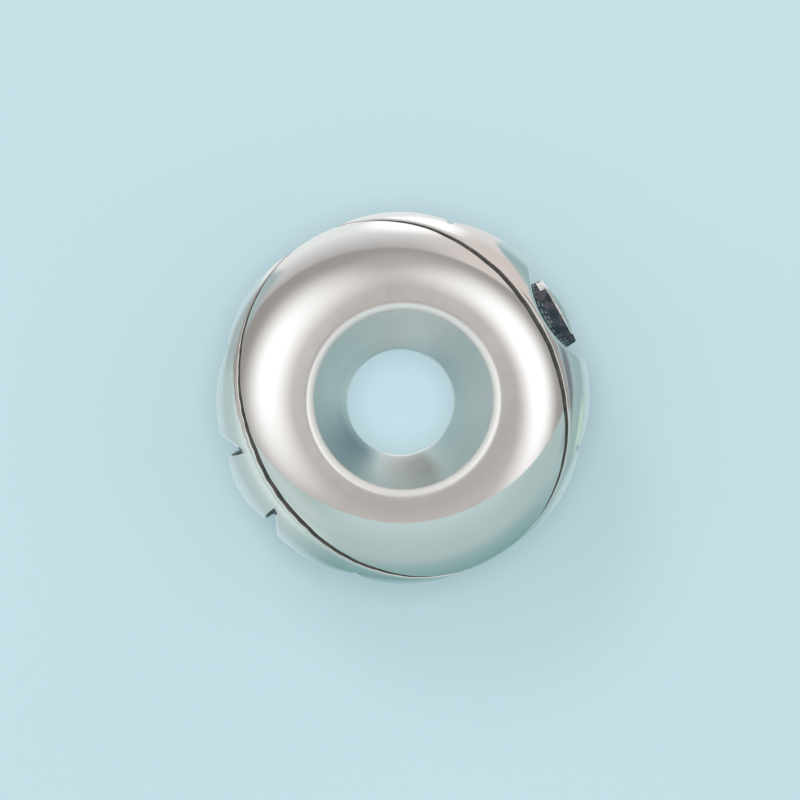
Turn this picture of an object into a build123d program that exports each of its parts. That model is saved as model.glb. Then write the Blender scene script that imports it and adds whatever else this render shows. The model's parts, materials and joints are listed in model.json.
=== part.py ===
from build123d import *

import os
from collections import namedtuple
from math import asin, atan2, cos, hypot, radians, sin, tan

# A cast silver charm bead that threads on a bracelet chain, lying on one end with its bore upright.
# The origin is on the bore's axis, on the plane that the bead rests on, and the jewel faces -Y.
# Lengths are in millimetres and angles in degrees.

# The polished doughnut: the ring that each end rests on, and the round from there to the crest
bead_length = 7.2
ring_radius = 3.34
round_radius = 2.33

# The bore: a rounded lip at each end, a conical mouth, and a straight throat that the chain passes
ring_land = 0.045
lip_round = 0.62
throat_radius = 1.64
throat_length = 2.1
throat_round = 0.6

# The engraved line round each end: a wave that dips towards mid-length at the sides, and climbs to
# line_end_margin under the end, at the crest's radius, at the jewel and the boss
line_waist = 1.22
line_end_margin = 0.14
line_bend = 3.0
line_width = 0.15
line_depth = 0.18

# The raised band between the lines leaves the doughnut's round at an angle, and bulges past its crest
band_bulge = 0.13
band_leaves_at = 72.0

# Petals, cast as low arched ribs with narrow gaps between them. Angles run from the jewel or the
# boss, and heights over the doughnut's crest are shares of petal_rise.
petal_rise = 0.09
gap_step = 0.06
Petal = namedtuple("Petal", "starts_at crest_at ends_at end_height crest_height")
PETALS = (
    Petal(8.0, 26.0, 44.6, -0.55, 1.0),
    Petal(46.4, 63.0, 82.0, -0.35, 1.0),
    Petal(82.0, 90.0, 98.0, -0.35, -0.2),
)

# The dish that the jewel and the boss stand in: a round-bottomed valley that runs along the bead,
# with its floor bowed outwards at mid-length
dish_depth = 0.685
dish_valley_radius = 3.45
dish_bow_radius = 50.0

# The domed boss on the far side from the jewel: its upright sides are bowed like a long ellipse
boss_half_width = 1.06
boss_half_height = 4.6
boss_rise = 0.14
boss_side_drop = 0.29

# The bezel collar round the stone, with heights under the crest
collar_radius = 1.09
collar_wall = 0.11
collar_rim_drop = 0.12
pocket_depth = 0.4

# The stone: a drum with a low dome
stone_gap = 0.03
stone_rise = 0.2
girdle_drop = 0.02

crest_radius = ring_radius + round_radius
half_length = bead_length / 2
round_centre = half_length - round_radius
outside = bead_length + 2 * crest_radius
dish_bottom = crest_radius - dish_depth
root_level = dish_bottom - line_depth
middle = (0, 0, half_length)

# Sections across the bead are drawn in the X direction, and along its jewel's axis in the Y direction
section_x = Plane(origin=middle, x_dir=(1, 0, 0), z_dir=(0, -1, 0))
section_y = Plane(origin=middle, x_dir=(0, 1, 0), z_dir=(1, 0, 0))


def line_height(radius):
    """Height over mid-length of the engraved line's straight run, at a distance towards the jewel."""
    top = half_length - line_end_margin
    return line_waist + (top - line_waist) * radius / crest_radius


def facing(side, level):
    """Plane square to the jewel's axis: side is -1 at the jewel and 1 at the boss."""
    return Plane(origin=(0, side * level, half_length), x_dir=(1, 0, 0), z_dir=(0, side, 0))


def draw_side(sink, bulge):
    """Draws the doughnut's half section, sunk by a depth, with or without the band's bulge."""
    arc_radius = round_radius - sink
    turn = band_leaves_at if bulge else 90.0
    shoulder = ring_radius + arc_radius * sin(radians(turn))
    shoulder_height = round_centre + arc_radius * cos(radians(turn))
    top = round_centre + arc_radius
    CenterArc((ring_radius, round_centre), arc_radius, 90, -turn)
    if bulge:
        ThreePointArc(
            (shoulder, shoulder_height),
            (crest_radius + bulge, 0),
            (shoulder, -shoulder_height),
        )
    else:
        Line((shoulder, shoulder_height), (shoulder, -shoulder_height))
    CenterArc((ring_radius, -round_centre), arc_radius, turn - 90, -turn)
    Polyline((ring_radius, -top), (0, -top), (0, top), (ring_radius, top))


def doughnut(sink=0.0, bulge=0.0):
    """Turned solid of that half section, before it is bored."""
    with BuildPart() as turned:
        with BuildSketch(section_x):
            with BuildLine():
                draw_side(sink, bulge)
            make_face()
        revolve(axis=Axis.Z)
    return turned.part


def between_lines(shift):
    """Slab between the middles of the two engraved lines, with both of its faces moved out by shift."""
    waist = line_waist + shift
    end = line_height(outside) + shift
    with BuildPart() as slab:
        with BuildSketch(section_y) as wave:
            with BuildLine():
                Polyline(
                    (-outside, -end),
                    (0, -waist),
                    (outside, -end),
                    (outside, end),
                    (0, waist),
                    (-outside, end),
                    close=True,
                )
            make_face()
            fillet(wave.vertices().group_by(Axis.Y)[1:-1], radius=line_bend)
        extrude(amount=outside, both=True)
    return slab.part


def around_bore(radius, angle):
    """Point at an angle from the jewel's direction, seen along the bore."""
    return (radius * sin(radians(angle)), -radius * cos(radians(angle)))


def petal_prism():
    """Prism whose outline, seen along the bore, is an arc for each petal and a step down for each gap."""
    with BuildPart() as prism:
        with BuildSketch(Plane.XY):
            Circle(crest_radius - line_depth + gap_step)
            for petal in PETALS:
                end_radius = crest_radius + petal_rise * petal.end_height
                top_radius = crest_radius + petal_rise * petal.crest_height
                for motif in (0, 180):
                    for side in (-1, 1):
                        with BuildLine():
                            arc = ThreePointArc(
                                around_bore(end_radius, motif + side * petal.starts_at),
                                around_bore(top_radius, motif + side * petal.crest_at),
                                around_bore(end_radius, motif + side * petal.ends_at),
                            )
                            Polyline(arc @ 1, (0, 0), arc @ 0)
                        make_face()
        extrude(amount=bead_length)
    return prism.part


def dish(side):
    """Cutter for one dish: a thick ring that bends over the bead, with its inside as the dish's floor.

    Its section is drawn on the ring's far side, which keeps the seam away from the bead.
    """
    ring_centre = side * (dish_bottom - dish_bow_radius)
    far_section = ring_centre - side * (dish_bow_radius + dish_valley_radius)
    with BuildPart() as cutter:
        with BuildSketch(Plane.XY.offset(half_length)):
            with Locations((0, far_section)):
                Circle(dish_valley_radius)
        revolve(axis=Axis((0, ring_centre, half_length), (1, 0, 0)))
    return cutter.part


# The doughnut's two ends lie outside the engraved lines, and the petals of the band between them.
# A slightly smaller doughnut joins them, and is the floor of both lines.
line_floor = doughnut(sink=line_depth)
plain = doughnut()
bulged = doughnut(bulge=band_bulge)
past_lines = between_lines(line_width / 2)
within_lines = between_lines(-line_width / 2)
petal_ribs = petal_prism()
jewel_dish = dish(-1)
boss_dish = dish(1)

with BuildPart() as ends:
    add(plain)
    add(past_lines, mode=Mode.SUBTRACT)

with BuildPart() as band:
    add(bulged)
    add(petal_ribs, mode=Mode.INTERSECT)
    add(within_lines, mode=Mode.INTERSECT)

# The boss has an arched top, bowed upright sides, and the band's own side view, only higher
boss_top = crest_radius + boss_rise
boss_shoulder = boss_top - boss_side_drop

with BuildPart() as boss:
    with BuildSketch(Plane.XY):
        with BuildLine():
            arch = ThreePointArc(
                (-boss_half_width, boss_shoulder),
                (0, boss_top),
                (boss_half_width, boss_shoulder),
            )
            Polyline(
                arch @ 1,
                (boss_half_width, root_level),
                (-boss_half_width, root_level),
                arch @ 0,
            )
        make_face()
    extrude(amount=bead_length)
    with BuildSketch(facing(1, 0)):
        Ellipse(boss_half_width, boss_half_height)
    extrude(amount=outside, mode=Mode.INTERSECT)
    add(doughnut(bulge=boss_rise), mode=Mode.INTERSECT)
    add(within_lines, mode=Mode.INTERSECT)

# The mouth's cone is the straight line from the throat's edge that just touches the lip's round,
# and the corner is where that line, carried on, meets the plane of the end
lip_run = ring_radius - ring_land - throat_radius
lip_climb = half_length - lip_round - throat_length / 2
cone_steepness = atan2(lip_climb, lip_run) + asin(lip_round / hypot(lip_climb, lip_run))
mouth_corner = throat_radius + (half_length - throat_length / 2) / tan(cone_steepness)

with BuildPart() as bore:
    with BuildSketch(section_x):
        with BuildLine():
            wall = FilletPolyline(
                (ring_radius, half_length),
                (mouth_corner, half_length),
                (throat_radius, throat_length / 2),
                (throat_radius, -throat_length / 2),
                (mouth_corner, -half_length),
                (ring_radius, -half_length),
                radius=(lip_round, throat_round, throat_round, lip_round),
            )
            Polyline(
                wall @ 1,
                (ring_radius, -bead_length),
                (0, -bead_length),
                (0, bead_length),
                (ring_radius, bead_length),
                wall @ 0,
            )
        make_face()
    revolve(axis=Axis.Z)

# The casting: the collar stands in its dish, with its root as deep under the floor as the boss's
rim_level = crest_radius - collar_rim_drop
pocket_level = rim_level - pocket_depth
pocket_radius = collar_radius - collar_wall

with BuildPart() as bead_body:
    add(line_floor)
    add(ends.part)
    add(band.part)
    add(jewel_dish, mode=Mode.SUBTRACT)
    add(boss_dish, mode=Mode.SUBTRACT)
    add(boss.part)
    with BuildSketch(facing(-1, root_level)):
        Circle(collar_radius)
    extrude(amount=rim_level - root_level)
    with BuildSketch(facing(-1, pocket_level)):
        Circle(pocket_radius)
    extrude(amount=crest_radius, mode=Mode.SUBTRACT)
    add(bore.part, mode=Mode.SUBTRACT)

# The stone sits in the collar with an even gap under and round it
stone_radius = pocket_radius - stone_gap
stone_base = pocket_level + stone_gap
stone_girdle = rim_level - girdle_drop
stone_top = rim_level + stone_rise

with BuildPart() as cabochon:
    with BuildSketch(section_y):
        with BuildLine():
            dome = TangentArc((-stone_top, 0), (-stone_girdle, stone_radius), tangent=(0, 1))
            Polyline(dome @ 1, (-stone_base, stone_radius), (-stone_base, 0), dome @ 0)
        make_face()
    revolve(axis=Axis(middle, (0, -1, 0)))

os.makedirs("parts", exist_ok=True)
bead_body.part.label = "bead_body"
export_step(bead_body.part, "parts/bead_body.step")
cabochon.part.label = "cabochon"
export_step(cabochon.part, "parts/cabochon.step")
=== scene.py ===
import json
from math import asin, atan, atan2, cos, degrees, hypot, pi, radians, sin, tan

import bpy
import numpy as np
from mathutils import Matrix, Vector


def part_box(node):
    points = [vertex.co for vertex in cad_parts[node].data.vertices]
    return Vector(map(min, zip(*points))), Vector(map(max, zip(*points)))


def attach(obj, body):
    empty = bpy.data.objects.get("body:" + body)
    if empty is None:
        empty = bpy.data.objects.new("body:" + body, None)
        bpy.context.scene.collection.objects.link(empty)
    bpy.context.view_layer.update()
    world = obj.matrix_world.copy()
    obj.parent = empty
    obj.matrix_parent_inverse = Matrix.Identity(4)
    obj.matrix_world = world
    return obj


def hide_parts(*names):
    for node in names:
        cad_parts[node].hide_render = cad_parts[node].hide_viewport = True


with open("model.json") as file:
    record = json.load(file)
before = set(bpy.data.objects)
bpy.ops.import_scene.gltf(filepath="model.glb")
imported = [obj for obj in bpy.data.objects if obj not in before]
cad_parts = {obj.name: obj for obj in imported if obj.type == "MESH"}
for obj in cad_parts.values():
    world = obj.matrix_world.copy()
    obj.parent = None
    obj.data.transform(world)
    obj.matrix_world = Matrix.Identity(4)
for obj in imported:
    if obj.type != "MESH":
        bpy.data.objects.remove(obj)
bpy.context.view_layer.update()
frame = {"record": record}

# Casting: the bead's body, one casting of sterling silver, polished like a mirror. A line is engraved
# round each end, and a band of petals stands between the two. Oxide is left in the lines, in the gaps
# between the petals, down the boss's sides and round the collar's root. Beside the boss it is thickest
# and darkest, partly oxide and partly a painted shadow of the gap under the boss's side.
MM = 0.001
body_low, body_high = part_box("bead_body")
half_length = (body_high.z - body_low.z) / 2 / MM

# The doughnut and its bore. Lengths are in millimetres and angles in degrees, here and below, and
# heights are taken from mid-length.
ring_radius = 3.34
round_radius = 2.33
crest_radius = ring_radius + round_radius
round_centre = half_length - round_radius
ring_land = 0.35
lip_round = 0.27
throat_radius = frame["record"]["mounts"][0]["dims"]["r_mm"]
throat_length = 2.1
throat_round = 0.6
throat_wander = (-0.059, 0.116)
lip_wander = (-0.054, 0.030)
cast_edge = 0.03
cast_root = 0.02

# The engraved line wanders by waves given as (rate round the bead, phase, size)
line_waist = 1.22
line_end_margin = 0.14
line_slope = (half_length - line_end_margin - line_waist) / crest_radius
line_bend = 3.0
line_width = 0.19
line_depth = 0.18
line_edge_round = 0.032
line_lift = 0.02
line_tilt = 0.075
line_tilt_turn = 35.6
line_waves = ((11, 0.7, 0.010), (23, 2.1, 0.006), (41, 0.0, 0.004))
ripple_size, ripple_rate = 0.012, 59
drift_size, drift_rate = 1.5, 5
narrow_at, narrow_spread, narrowed_by = 140.0, 30.0, 0.25

# Petals start, crest and end at angles from the jewel or the boss, and the heights of their ends and
# crests are shares of petal_rise
band_bulge = 0.13
band_leaves_at = 72.0
petal_rise = 0.09
gap_step = 0.06
gap_radius = crest_radius - line_depth + gap_step
gap_from, gap_to = 44.6, 46.4
gap_edge = 0.45
gap_film_edge = 0.3
crease_at = 82.0
crease_width = 0.35
crease_film = 0.55
petal_arcs = (
    (8.0, 26.0, gap_from, -0.55, 1.0),
    (gap_to, 63.0, crease_at, -0.35, 1.0),
    (crease_at, 90.0, 98.0, -0.35, -0.2),
)

dish_depth = 0.685
dish_bottom = crest_radius - dish_depth
dish_valley_radius = 3.45
dish_bow_radius = 50.0

boss_half_width = 1.12
boss_half_height = 3.35
boss_aside = 0.03
boss_rise = 0.14
boss_side_drop = 0.29
never_zero = 1e-6

# The thick dark film beside the boss, oxide and a painted shadow, begins or ends between the two lengths
# of each pair
boss_oxide_and_shade = 2.0
dark_past_side = (-0.035, -0.015)
dark_over_root = (5.08, 5.14)
dark_under_top = (5.40, 5.46)
dark_from_middle = (1.15, 1.19)

collar_radius = 1.09
collar_root_gap = 0.1


def smooth_step(low, high, value):
    """0 below low, 1 above high, and 3t² - 2t³ of the share t of the way between them."""
    share = np.clip((value - low) / (high - low), 0.0, 1.0)
    return share * share * (3.0 - 2.0 * share)


def span_mask(low, high, edge, value):
    """1 from low to high and 0 outside, with a smooth step as wide as edge on both sides of each limit."""
    return smooth_step(low - edge, low + edge, value) * (1.0 - smooth_step(high - edge, high + edge, value))


def bell(value, centre, width):
    """1 where value is at centre, and exp(-(distance / width)²) away from it."""
    return np.exp(-(((value - centre) / width) ** 2))


def soft_min(first, second, blend):
    """The smaller of two lengths, less up to a quarter of blend where they are nearly equal."""
    share = np.clip(0.5 + 0.5 * (second - first) / blend, 0.0, 1.0)
    return second + (first - second) * share - blend * share * (1.0 - share)


def soft_max(first, second, blend):
    """The larger of two lengths, with its inside corner filled over the same blend."""
    return -soft_min(-first, -second, blend)


def halve(test, low, high, steps=30):
    """Where test turns from positive to negative between low and high, by halving the span each step."""
    low = low + 0.0 * test(high)
    high = high + 0.0 * low
    for _ in range(steps):
        middle = (low + high) / 2
        past = test(middle) < 0.0
        high = np.where(past, middle, high)
        low = np.where(past, low, middle)
    return high


def round_outline(turn, three_points):
    """Distance from the axis to the circle through three (angle, distance) points, along a ray at turn.

    With c the circle's centre and u the ray, it is u.c + sqrt(R² - c.c + (u.c)²).
    """
    points = np.array([(d * sin(radians(a)), d * cos(radians(a))) for a, d in three_points])
    squares = (points**2).sum(axis=1)
    centre = np.linalg.solve(2 * (points[1:] - points[0]), squares[1:] - squares[0])
    size_squared = ((points[0] - centre) ** 2).sum()
    along = np.sin(turn) * centre[0] + np.cos(turn) * centre[1]
    return along + np.sqrt(np.maximum(size_squared - (centre**2).sum() + along**2, 0.0))


def plain_radius(height):
    """Half section of the doughnut: a quarter circle from the ring it rests on, then upright."""
    over = np.clip(np.abs(height) - round_centre, 0.0, round_radius)
    return ring_radius + np.sqrt(round_radius**2 - over**2)


def sunk_radius(height):
    """The same half section with its quarter circle smaller by the engraved line's depth."""
    floor_radius = round_radius - line_depth
    over = np.clip(np.abs(height) - round_centre, 0.0, floor_radius)
    return ring_radius + np.sqrt(floor_radius**2 - over**2)


def bulged_radius(height, bulge):
    """The doughnut's section, with a shallow arc from its shoulders out past its crest by bulge."""
    shoulder = ring_radius + round_radius * sin(radians(band_leaves_at))
    shoulder_height = round_centre + round_radius * cos(radians(band_leaves_at))
    out = crest_radius + bulge
    centre = (out**2 - shoulder**2 - shoulder_height**2) / (2 * (out - shoulder))
    near = np.minimum(np.abs(height), shoulder_height)
    arc = centre + np.sqrt((out - centre) ** 2 - near**2)
    return np.where(np.abs(height) > shoulder_height, plain_radius(height), arc)


def lobe(turn, centre, width):
    """A soft patch round the bore: a bell of the angle from its centre, in degrees."""
    apart = (np.degrees(turn) - centre + 180.0) % 360.0 - 180.0
    return bell(apart, 0.0, width)


def from_motif(turn):
    """Angle in degrees from the nearer of the jewel and the boss, between 0 and 90."""
    return np.abs((np.degrees(turn) + 90.0) % 180.0 - 90.0)


def petal_outline(turn):
    """The band seen along the bore: a circle's arc over each petal, with a narrow trough between two."""
    away = from_motif(turn)
    angle = np.radians(away)
    arcs = []
    for starts_at, crest_at, ends_at, end_height, crest_height in petal_arcs:
        end = crest_radius + petal_rise * end_height
        top = crest_radius + petal_rise * crest_height
        arcs.append(round_outline(angle, ((starts_at, end), (crest_at, top), (ends_at, end))))
    near_motif, beside, between = arcs
    middle = (gap_from + gap_to) / 2
    outline = np.where(away < middle, near_motif, np.where(away < crease_at, beside, between))
    return outline - (outline - gap_radius) * span_mask(gap_from, gap_to, gap_edge, away)


def dish_level(across, height):
    """The dish's floor, measured along the jewel's axis: a valley of radius R that bows by radius B.

    It is the bottom, plus R - sqrt(R² - x²) across it, less B - sqrt(B² - z²) along it.
    """
    valley = dish_valley_radius - np.sqrt(np.maximum(dish_valley_radius**2 - across**2, 0.0))
    bow = dish_bow_radius - np.sqrt(dish_bow_radius**2 - height**2)
    return dish_bottom + valley - bow


def dish_floor(turn, height):
    """Distance from the bore's axis at which a ray enters the dish."""

    def under(radius):
        return dish_level(radius * np.sin(turn), height) - radius * np.cos(turn)

    return halve(under, dish_bottom / 2, crest_radius + boss_rise + cast_edge)


def boss_width(height):
    """Half width of the boss between its bowed sides: w (1 - (z / h)⁴) to the power of a quarter."""
    return boss_half_width * np.maximum(1.0 - (height / boss_half_height) ** 4, 0.0) ** 0.25


def boss_surface(turn, height):
    """The boss: the lowest of an arch across it, the band's own section raised, and its upright sides."""
    top = crest_radius + boss_rise
    corner = degrees(atan2(boss_half_width, top - boss_side_drop))
    corner_radius = hypot(boss_half_width, top - boss_side_drop)
    arch = round_outline(turn, ((-corner, corner_radius), (0.0, top), (corner, corner_radius)))
    side_view = bulged_radius(height, boss_rise)
    across = np.sin(turn)
    upright = (boss_width(height) + boss_aside * np.sign(across)) / np.maximum(np.abs(across), never_zero)
    return soft_min(soft_min(arch, side_view, cast_edge), upright, cast_edge)


def band_surface(turn, height):
    """The band's distance from the bore's axis, and how much of the oxide stays in it, at each point.

    Petals under the bulge, less the two dishes, plus the boss. The oxide stays in the gaps between
    the petals, round the collar's root and down the boss's sides, where it lies thickest; there it is also
    a painted shadow of the gap under the boss's side.
    """
    petals = soft_min(petal_outline(turn), bulged_radius(height, band_bulge), cast_edge)
    jewel_turn = (turn + pi) % (2 * pi) - pi
    boss_turn = turn % (2 * pi) - pi
    near_jewel = np.abs(jewel_turn) < pi / 4
    near_boss = np.abs(boss_turn) < pi / 4
    far = crest_radius * 2

    floor = np.full(turn.shape, far)
    for near, its_turn in ((near_jewel, jewel_turn), (near_boss, boss_turn)):
        floor[near] = dish_floor(its_turn[near], height[near])
    boss = np.zeros(turn.shape)
    boss[near_boss] = boss_surface(boss_turn[near_boss], height[near_boss])
    radius = soft_max(soft_min(petals, floor, cast_edge), boss, cast_root)

    away = from_motif(turn)
    in_gap = span_mask(gap_from, gap_to, gap_film_edge, away)
    in_gap = in_gap * (bulged_radius(height, band_bulge) > gap_radius)
    in_crease = crease_film * bell(away, crease_at, crease_width)

    # Beside the boss: oxide, and a painted shadow of the gap under the boss's side.
    along = radius * np.cos(boss_turn)
    from_middle = np.abs(radius * np.sin(boss_turn) - boss_aside)
    past_side = np.where(near_boss, from_middle, far) - boss_width(height)
    oxide_and_shade_by_boss = smooth_step(*dark_past_side, past_side) * smooth_step(*dark_over_root, along)
    oxide_and_shade_by_boss = oxide_and_shade_by_boss * (1.0 - smooth_step(*dark_under_top, along))
    oxide_and_shade_by_boss = oxide_and_shade_by_boss * (1.0 - smooth_step(*dark_from_middle, from_middle))
    from_stone = np.where(near_jewel, np.hypot(radius * np.sin(jewel_turn), height), far)
    root_edge = collar_radius + collar_root_gap
    by_collar = 1.0 - smooth_step(root_edge - collar_root_gap / 2, root_edge, from_stone)
    oxide = np.maximum.reduce([in_gap, in_crease, boss_oxide_and_shade * oxide_and_shade_by_boss, by_collar])
    return radius, oxide


def line_height(along, shift):
    """Height of the engraved line at a distance along the jewel's axis: a straight climb with a round bend.

    Within the bend it is the waist plus R / cos(slope) - sqrt(R² - y²), and outside the waist plus slope y.
    """
    climb = atan(line_slope)
    out = np.abs(along)
    bend = line_bend / cos(climb) - np.sqrt(line_bend**2 - np.minimum(out, line_bend * sin(climb)) ** 2)
    return line_waist + shift + np.where(out < line_bend * sin(climb), bend, line_slope * out)


def line_crossing(turn, radius_at, shift, ripple=0.0):
    """Height at which a surface, given as its radius at a height, crosses the line moved by shift.

    The line is slightly tilted, it wanders by three sine waves round it, and it narrows on one side. An
    edge cut by hand ripples too, most of all at the boss.
    """
    wander = line_lift + line_tilt * np.cos(turn - radians(line_tilt_turn))
    for rate, phase, size in line_waves:
        wander = wander + size * np.sin(rate * turn + phase)
    rippled = np.sin(ripple_rate * turn + drift_size * np.sin(drift_rate * turn))
    wander = wander + ripple * rippled * (1.0 - np.cos(turn)) / 2
    narrowed = 1.0 - narrowed_by * lobe(turn, narrow_at, narrow_spread)

    def below(height):
        return line_height(radius_at(height) * np.cos(turn), shift * narrowed) + wander - height

    return halve(below, np.zeros(turn.shape), np.full(turn.shape, half_length))


# Columns crowd near the jewel and the boss, and at steep places given as (angle from them, spread, extra)
column_count = 396
trial_turns = 20001
motif_crowd = 2.0
motif_crowd_ends = (17.0, 30.0)
crowds = ((13.0, 2.5, 4.0), (45.5, 1.6, 7.0), (crease_at, 1.5, 3.0))


def crowded_turns(count):
    """Angles round the bore, crowded where the relief is steep: the shares of a running sum of density."""
    fine = np.linspace(-pi, pi, trial_turns)
    away = from_motif(fine)
    density = 1.0 + motif_crowd * (1.0 - smooth_step(*motif_crowd_ends, away))
    for centre, spread, extra in crowds:
        density = density + extra * bell(away, centre, spread)
    running = np.concatenate(([0.0], np.cumsum((density[1:] + density[:-1]) / 2)))
    return np.interp(np.arange(count) / count, running / running[-1], fine)


# Rows down the bore: the end's flat land, the lip's round, the cone, the neck's round and the throat
land_shares = np.array([0.62, 0.83])
lip_rows = 15
cone_shares = np.array([0.02, 0.08, 0.2, 0.4, 0.6, 0.8])
neck_rows = 8
throat_shares = np.array([0.66, 0.33])


def bore_profile():
    """Radius and height down the bore, and how many of the rows belong to the land and the lip.

    The cone is the straight line from the throat's edge that touches the lip's round.
    """
    run = ring_radius - ring_land - throat_radius
    climb = half_length - lip_round - throat_length / 2
    steep = atan2(climb, run) + asin(lip_round / hypot(climb, run))
    lip_turns = np.linspace(0.0, steep, lip_rows)
    land_radii = ring_radius - ring_land * land_shares
    lip_radii = np.concatenate((land_radii, ring_radius - ring_land - lip_round * np.sin(lip_turns)))
    lip_heights = half_length - lip_round + lip_round * np.cos(lip_turns)
    lip_heights = np.concatenate((half_length + 0.0 * land_radii, lip_heights))
    mouth_slope = pi / 2 - steep
    throat_end = throat_length / 2 - throat_round * tan(mouth_slope / 2)
    neck_turns = np.linspace(mouth_slope, 0.0, neck_rows)
    neck_radii = throat_radius + throat_round * (1 - np.cos(neck_turns))
    neck_heights = throat_end + throat_round * np.sin(neck_turns)
    cone_radii = lip_radii[-1] * (1 - cone_shares) + neck_radii[0] * cone_shares
    cone_heights = lip_heights[-1] * (1 - cone_shares) + neck_heights[0] * cone_shares
    throat_heights = throat_end * throat_shares
    radii = np.concatenate((lip_radii, cone_radii, neck_radii, throat_radius + 0.0 * throat_heights))
    heights = np.concatenate((lip_heights, cone_heights, neck_heights, throat_heights))
    return radii, heights, lip_radii.size


# Painted shade and reflections in the bore: its tints as numbers, its sides as (angle, spread), and where
# it changes in height
tone_slate, tone_blue, tone_none, tone_straw = 1.0, 0.5, 0.3, 0.05
slate_side, slate_fade = (-165.0, 32.0), 0.35
straw_side, straw_fade, straw_push = (-118.0, 24.0), 0.3, 2.0
light_side = (-20.0, 60.0)
neck_shade, neck_reach = 0.14, 0.9
lip_reach = (2.2, 3.3)
throat_untinted_to = (1.0, 1.3)


def bore_shading_tone(turn, height):
    """The painted shade and reflections in the bore: blue-green, with a dark slate side, a warm straw one
    beside it and a lighter one.

    Slate and straw fade towards the lip, and the throat is left untinted.
    """
    near_throat = 1.0 - smooth_step(throat_length / 2, throat_length / 2 + neck_reach, height)
    near_lip = smooth_step(*lip_reach, height)
    straw = np.minimum(straw_push * lobe(turn, *straw_side), 1.0)
    slate = lobe(turn, *slate_side) * (1.0 - slate_fade * near_lip)
    film = tone_blue + (tone_slate - tone_blue) * slate
    film = film - (tone_blue - tone_straw) * straw * (1.0 - straw_fade * near_lip)
    film = film - (tone_blue - tone_none) * lobe(turn, *light_side) * (1.0 - near_throat)
    film = film + neck_shade * near_throat * (1.0 - straw)
    film = tone_none + (film - tone_none) * smooth_step(*throat_untinted_to, height)
    return np.clip(film, tone_straw, tone_slate)


# Rows up the outside, as shares of each stretch, with the oxide in them. The line's edge is rounded,
# the oxide is wiped off the band next to it, and the lip is whitened and matt between two radii, a
# painted highlight of its round.
band_rows, band_crowds_at = 32, 0.52
crowded_rows, band_stops_at = 18, 0.985
band_wiped = (0.93, 0.99)
edge_drops = np.array([0.05, 0.35, 1.0])
edge_insets = np.array([0.75, 0.25, 0.0])
edge_film = np.array([0.0, 0.0, 0.1])
wall_shares = np.array([0.05, 0.2, 0.6, 0.96])
wall_film = np.array([0.9, 1.0, 1.0, 1.0])
floor_shares = np.array([0.08, 0.5, 0.92])
rise_shares = np.array([0.1, 0.6, 0.9])
arc_first_shares = np.array([0.006, 0.014])
arc_rows, arc_even_from = 26, 0.03
arc_first_film = 0.5
stretch_fade = 6
lip_highlight_radii = (2.76, 3.04)


def stretch(first, last, shares):
    """Values at shares of the way from one point of each column to another."""
    return first[:, None] * (1 - shares) + last[:, None] * shares


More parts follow.
